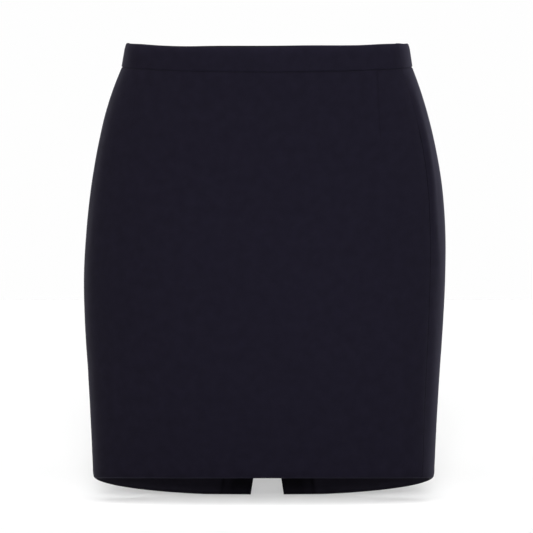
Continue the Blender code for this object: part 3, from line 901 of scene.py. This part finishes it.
# Plain-dyed worsted suiting with some polyester: fine, close twill, hard pressed. It is matt and
# almost flat to the eye, and its nap catches light only where it is seen edge on.
suiting = {
    "colour": "#17151e",
    "light": "#1b1925",  # the raised top of a yarn, painted lighter: a painted highlight on the weave
    "wrongSide": "#fcfde8",  # tints the inside's colour less blue
    "twill": 1.3,  # real wales are about 0.6 mm apart, too fine to show
    "twillAngle": 62,
    "warp": 0.95,  # real yarns are about 0.3 mm apart
    "slub": (0.9, 9.0),  # thick places in the yarn, across and along it
    "shares": {"twill": 0.65, "warp": 0.35, "slub": 0.5},
    "mottle": 11.0,
    "mottleShare": 0.30,
    # how much darker the painted shade makes the cloth where the shade attribute is 1
    "paintedShadeDepth": 0.5,
    "relief": 0.05,
    "roughness": 0.82,
    "ior": 1.55,
    "specular": 0.02,
    "sheen": 0.06,
    "sheenRoughness": 0.30,
    "sheenTint": "#c9c8d6",
}


def suitingMaterial():
    material, tree = newMaterial("worstedSuitingTwill")
    cut = addNode(tree, "UVMap", {"uv_map": "cut"}, {})
    slanted = addNode(
        tree,
        "Mapping",
        {"Rotation": (0, 0, math.radians(suiting["twillAngle"]))},
        {"Vector": (cut, "UV")},
    )
    twill = addNode(
        tree,
        "TexWave",
        {"Scale": waveScale(suiting["twill"]), "Distortion": 1.2, "Detail": 1.0, "Detail Scale": 2.0},
        {"Vector": (slanted, "Vector")},
    )
    warp = addNode(
        tree,
        "TexWave",
        {"Scale": waveScale(suiting["warp"]), "Distortion": 0.6, "Detail": 1.0},
        {"Vector": (cut, "UV")},
    )
    across, along = (noiseScale(size) for size in suiting["slub"])
    stretched = addNode(
        tree, "Mapping", {"Scale": (across, along, 1.0)}, {"Vector": (cut, "UV")}
    )
    slub = addNode(tree, "TexNoise", {"Scale": 1.0, "Detail": 2.0}, {"Vector": (stretched, "Vector")})
    mottle = addNode(
        tree,
        "TexNoise",
        {"Scale": noiseScale(suiting["mottle"]), "Detail": 2.0, "Roughness": 0.55},
        {"Vector": (cut, "UV")},
    )
    shares = suiting["shares"]
    yarn = addNode(tree, "Math", {"operation": "MULTIPLY", 1: shares["warp"]}, {0: (warp, "Fac")})
    for name, pattern in (("twill", twill), ("slub", slub)):
        yarn = addNode(
            tree,
            "Math",
            {"operation": "MULTIPLY_ADD", 1: shares[name]},
            {0: (pattern, "Fac"), 2: (yarn, 0)},
        )
    # the weave's raised parts get the lighter colour: a painted highlight
    colour = twoTone(tree, suiting, (yarn, 0))
    blotch = addNode(
        tree,
        "MapRange",
        {"To Min": 1 - suiting["mottleShare"], "To Max": 1 + suiting["mottleShare"]},
        {"Value": (mottle, "Fac")},
    )
    # the inner faces get a less blue colour
    inner = addNode(tree, "Attribute", {"attribute_name": "wrongSide"}, {})
    colour = addNode(
        tree,
        "Mix",
        {"data_type": "RGBA", "blend_type": "MULTIPLY", 7: linear(suiting["wrongSide"])},
        {0: (inner, "Fac"), 6: (colour, 2)},
    )
    # the shade attribute: painted shade along seams, darts and facings, and painted light inside at the
    # hem and at the band's top
    paintedShade = addNode(tree, "Attribute", {"attribute_name": "shade"}, {})
    seamShade = addNode(
        tree,
        "MapRange",
        {"clamp": False, "To Min": 1.0, "To Max": 1 - suiting["paintedShadeDepth"]},
        {"Value": (paintedShade, "Fac")},
    )
    tone = addNode(
        tree, "Math", {"operation": "MULTIPLY"}, {0: (blotch, "Result"), 1: (seamShade, "Result")}
    )
    toned = addNode(
        tree, "VectorMath", {"operation": "SCALE"}, {0: (colour, 2), "Scale": (tone, 0)}
    )
    bump = raised(tree, suiting, 0.6, (yarn, 0))
    shader = addNode(
        tree,
        "BsdfPrincipled",
        {
            "Roughness": suiting["roughness"],
            "IOR": suiting["ior"],
            "Specular IOR Level": suiting["specular"],
            "Sheen Weight": suiting["sheen"],
            "Sheen Roughness": suiting["sheenRoughness"],
            "Sheen Tint": linear(suiting["sheenTint"]),
        },
        {"Base Color": (toned, "Vector"), "Normal": (bump, "Normal")},
    )
    return surfaced(material, shader)


# Knitted polyester zip tape: matt, with fine ribs along it and a faint lustre from the filament.
tapeCloth = {
    "colour": "#14131b",
    # the raised ribs get this lighter colour: a painted highlight
    "light": "#1e1d28",
    "rib": 0.9,  # real ribs are about 0.45 mm apart, too fine to show
    "course": 1.1,
    "relief": 0.06,
    "roughness": 0.62,
    "ior": 1.58,
    "specular": 0.10,
    "sheen": 0.08,
}


def tapeMaterial():
    material, tree = newMaterial("knittedPolyesterTape")
    cut = addNode(tree, "UVMap", {"uv_map": "cut"}, {})
    rib = addNode(
        tree, "TexWave", {"Scale": waveScale(tapeCloth["rib"])}, {"Vector": (cut, "UV")}
    )
    course = addNode(
        tree,
        "TexWave",
        {"bands_direction": "Y", "Scale": waveScale(tapeCloth["course"]), "Distortion": 0.8},
        {"Vector": (cut, "UV")},
    )
    height = addNode(
        tree, "Math", {"operation": "MULTIPLY"}, {0: (rib, "Fac"), 1: (course, "Fac")}
    )
    # painted highlight on the raised ribs
    colour = twoTone(tree, tapeCloth, (height, 0))
    bump = raised(tree, tapeCloth, 0.7, (height, 0))
    shader = addNode(
        tree,
        "BsdfPrincipled",
        {
            "Roughness": tapeCloth["roughness"],
            "IOR": tapeCloth["ior"],
            "Specular IOR Level": tapeCloth["specular"],
            "Sheen Weight": tapeCloth["sheen"],
        },
        {"Base Color": (colour, 2), "Normal": (bump, "Normal")},
    )
    return surfaced(material, shader)


# Spun polyester sewing thread: soft, slightly fuzzy, with the ply's twist just seen close to.
sewingThread = {
    "colour": "#181722",
    # the twist's ridges get this lighter colour: a painted highlight
    "light": "#242230",
    "twist": 0.6,
    "relief": 0.03,
    "roughness": 0.7,
    "sheen": 0.2,
}

# Drawn nylon filament: smooth and a little glossy.
nylon = {
    "colour": "#121118",
    "light": "#191822",
    "blotch": 3.0,
    "grain": 0.5,  # size of a fine relief
    "relief": 0.02,
    "roughness": (0.34, 0.46),
    "ior": 1.53,
}

# Zinc die casting under baked enamel: glossy, with a faint orange peel, duller where it is handled.
enamel = {
    "colour": "#101016",
    "light": "#17171f",
    "blotch": 4.0,
    "grain": 0.7,
    "relief": 0.02,
    "roughness": (0.26, 0.42),
    "ior": 1.50,
}


def threadMaterial():
    material, tree = newMaterial("spunPolyesterThread")
    place = addNode(tree, "TexCoord", {}, {})
    twist = addNode(
        tree,
        "TexWave",
        {"bands_direction": "DIAGONAL", "Scale": waveScale(sewingThread["twist"])},
        {"Vector": (place, "Object")},
    )
    # painted highlight on the twist's ridges
    colour = twoTone(tree, sewingThread, (twist, "Fac"))
    bump = raised(tree, sewingThread, 0.5, (twist, "Fac"))
    shader = addNode(
        tree,
        "BsdfPrincipled",
        {"Roughness": sewingThread["roughness"], "Sheen Weight": sewingThread["sheen"]},
        {"Base Color": (colour, 2), "Normal": (bump, "Normal")},
    )
    return surfaced(material, shader)


def smoothMaterial(name, finish):
    material, tree = newMaterial(name)
    place = addNode(tree, "TexCoord", {}, {})
    blotch = addNode(
        tree, "TexNoise", {"Scale": noiseScale(finish["blotch"])}, {"Vector": (place, "Object")}
    )
    peel = addNode(
        tree,
        "TexNoise",
        {"Scale": noiseScale(finish["grain"]), "Detail": 3.0},
        {"Vector": (place, "Object")},
    )
    colour = twoTone(tree, finish, (blotch, "Fac"))
    handled = addNode(
        tree,
        "MapRange",
        {"To Min": finish["roughness"][0], "To Max": finish["roughness"][1]},
        {"Value": (blotch, "Fac")},
    )
    bump = raised(tree, finish, 0.3, (peel, "Fac"))
    shader = addNode(
        tree,
        "BsdfPrincipled",
        {"IOR": finish["ior"]},
        {
            "Base Color": (colour, 2),
            "Roughness": (handled, "Result"),
            "Normal": (bump, "Normal"),
        },
    )
    return surfaced(material, shader)


def finishWith(material, *pieces):
    for piece in pieces:
        piece.data.materials.clear()
        piece.data.materials.append(material)


finishWith(suitingMaterial(), frontPiece, *backPieces, frontBand, *backBands, *turnings)
finishWith(tapeMaterial(), *tapes)
finishWith(threadMaterial(), frontThread, *backThreads)
finishWith(smoothMaterial("nylonCoilFilament", nylon), coil, nodes["zip_bottom_stop"])
finishWith(smoothMaterial("blackEnamelledZinc", enamel), nodes["zip_slider"], nodes["zip_pull_tab"])


print("what each piece stands for")


def declareCloth(piece, node):
    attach(piece, "skirt")
    if node:
        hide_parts(node)


declareCloth(frontPiece, "front_panel")
for piece, node, bandPiece in zip(backPieces, ("back_panel_left", "back_panel_right"), backBands):
    declareCloth(piece, node)
declareCloth(frontBand, "waistband_front")
for piece, node in zip(backBands, ("waistband_back_left", "waistband_back_right")):
    declareCloth(piece, node)
for piece, node, panel in zip(tapes, ("zip_tape_left", "zip_tape_right"), backPieces):
    declareCloth(piece, node)
for piece in turnings:
    declareCloth(piece, None)
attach(coil, "skirt")
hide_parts("zip_coil")
for piece in (frontThread, *backThreads):
    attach(piece, "skirt")


print("floor, lights and camera")

studio = {
    "floorDrop": 460.0,  # the hem's lowest place is just above it
    "floorSize": 60.0,
    "floorColour": "#e6e6e6",
    "backdrop": "#fefefe",  # what the camera sees past the floor
    "roomLight": 0.08,
    # Each light is on the skirt or the floor alone, so both are evenly lit and the shadow is soft.
    # Spreads and tilts are degrees, and a tilted sun shines from the front.
    "suns": [
        {"name": "overhead", "on": "skirt", "strength": 0.88, "spread": 60, "tilt": 35},
        {"name": "fill", "on": "skirt", "strength": 3.65, "spread": 60, "tilt": 0},
        {"name": "floorFill", "on": "floor", "strength": 1.1, "spread": 60, "tilt": 0},
        {"name": "floorTop", "on": "floor", "strength": 0.51, "spread": 60, "tilt": 0},
        {"name": "floorFront", "on": "floor", "strength": 1.91, "spread": 30, "tilt": 68},
        {"name": "floorLow", "on": "floor", "strength": 14.5, "spread": 8, "tilt": 84},
    ],
    "shadowless": ("fill", "floorFill"),
    "lamps": [
        {"name": "key", "place": (0.4, -2.8, 2.0), "size": 1.6, "power": 3, "colour": "#ffffff"},
        {"name": "sideRight", "place": (2.2, -0.6, 0.4), "size": 1.4, "power": 7, "colour": "#ffffff"},
        {"name": "sideLeft", "place": (-2.2, -0.6, 0.4), "size": 1.4, "power": 4, "colour": "#fff0c0"},
        {"name": "rimRight", "place": (1.85, 2.3, 0.15), "size": 1.0, "power": 49, "colour": "#dcd8f4"},
        {"name": "rimLeft", "place": (-1.55, 2.5, 0.15), "size": 0.8, "power": 22, "colour": "#e4e1f2"},
    ],
    "strip": {"place": (0.0, -0.5, -0.4425), "size": (1.2, 0.035), "power": 22},
    "aim": (0.0, 0.0, -0.22),  # what the lamps point at
    "cameraPlace": (-0.0007, -5.0, -0.2174),
    "lens": 326.3,
}


def buildFloor():  # matt white paint, which shows as even white with no gloss
    bpy.ops.mesh.primitive_plane_add(
        size=studio["floorSize"], location=(0, 0, -studio["floorDrop"] * mm)
    )
    floor = bpy.context.object
    floor.name = "floor"
    material, tree = newMaterial("matPaintedFloor")
    shader = addNode(
        tree, "BsdfDiffuse", {"Color": linear(studio["floorColour"]), "Roughness": 0.0}, {}
    )
    finishWith(surfaced(material, shader), floor)
    return floor


def buildRoom():
    world = bpy.data.worlds.new("room")
    world.use_nodes = True
    world.node_tree.nodes.clear()
    tree = world.node_tree
    seen = addNode(tree, "LightPath", {}, {})
    lighting = addNode(
        tree, "Background", {"Color": linear("#ffffff"), "Strength": studio["roomLight"]}, {}
    )
    backdrop = addNode(tree, "Background", {"Color": linear(studio["backdrop"])}, {})
    both = addNode(
        tree,
        "MixShader",
        {},
        {0: (seen, "Is Camera Ray"), 1: (lighting, "Background"), 2: (backdrop, "Background")},
    )
    addNode(tree, "OutputWorld", {}, {"Surface": (both, "Shader")})
    bpy.context.scene.world = world


def lightGroups(floor):  # what a light on the floor alone, and one on all but the floor, reaches
    groups = {}
    for name, state in (("floor", "INCLUDE"), ("skirt", "EXCLUDE")):
        groups[name] = bpy.data.collections.new(name + "Lit")
        groups[name].objects.link(floor)
        groups[name].collection_objects[0].light_linking.link_state = state
    return groups


def buildSuns(groups):
    for sun in studio["suns"]:
        lean = (math.radians(sun["tilt"]), 0, 0)
        bpy.ops.object.light_add(type="SUN", location=(0, 0, 2), rotation=lean)
        lamp = bpy.context.object
        lamp.name = sun["name"]
        lamp.data.energy = sun["strength"]
        lamp.data.angle = math.radians(sun["spread"])
        lamp.data.use_shadow = sun["name"] not in studio["shadowless"]
        lamp.light_linking.receiver_collection = groups[sun["on"]]


def buildLamps(groups):
    for light in studio["lamps"]:
        place = Vector(light["place"])
        bpy.ops.object.light_add(type="AREA", location=place)
        lamp = bpy.context.object
        lamp.name = light["name"]
        lamp.data.shape = "DISK"
        lamp.data.size = light["size"]
        lamp.data.energy = light["power"]
        lamp.data.color = linear(light["colour"])[:3]
        lamp.rotation_euler = (Vector(studio["aim"]) - place).to_track_quat("-Z", "Y").to_euler()
        lamp.light_linking.receiver_collection = groups["skirt"]


def buildStrip(groups):  # a low lamp in front, whose light runs in under the front hem
    strip = studio["strip"]
    bpy.ops.object.light_add(
        type="AREA", location=strip["place"], rotation=(math.radians(90), 0, 0)
    )
    lamp = bpy.context.object
    lamp.name = "strip"
    lamp.data.shape = "RECTANGLE"
    lamp.data.size, lamp.data.size_y = strip["size"]
    lamp.data.energy = strip["power"]
    lamp.data.cycles.max_bounces = 0  # the floor that it whitens doesn't shine up on the skirt
    lamp.visible_camera = False
    lamp.light_linking.receiver_collection = groups["floor"]


def buildCamera():
    bpy.ops.object.camera_add(
        location=studio["cameraPlace"], rotation=(math.radians(90), 0, 0)
    )
    camera = bpy.context.object
    camera.data.lens = studio["lens"]
    camera.data.sensor_width = 36
    camera.data.clip_end = 100
    bpy.context.scene.camera = camera
    bpy.context.scene.view_settings.view_transform = "Standard"


litGroups = lightGroups(buildFloor())
buildRoom()
buildSuns(litGroups)
buildLamps(litGroups)
buildStrip(litGroups)
buildCamera()
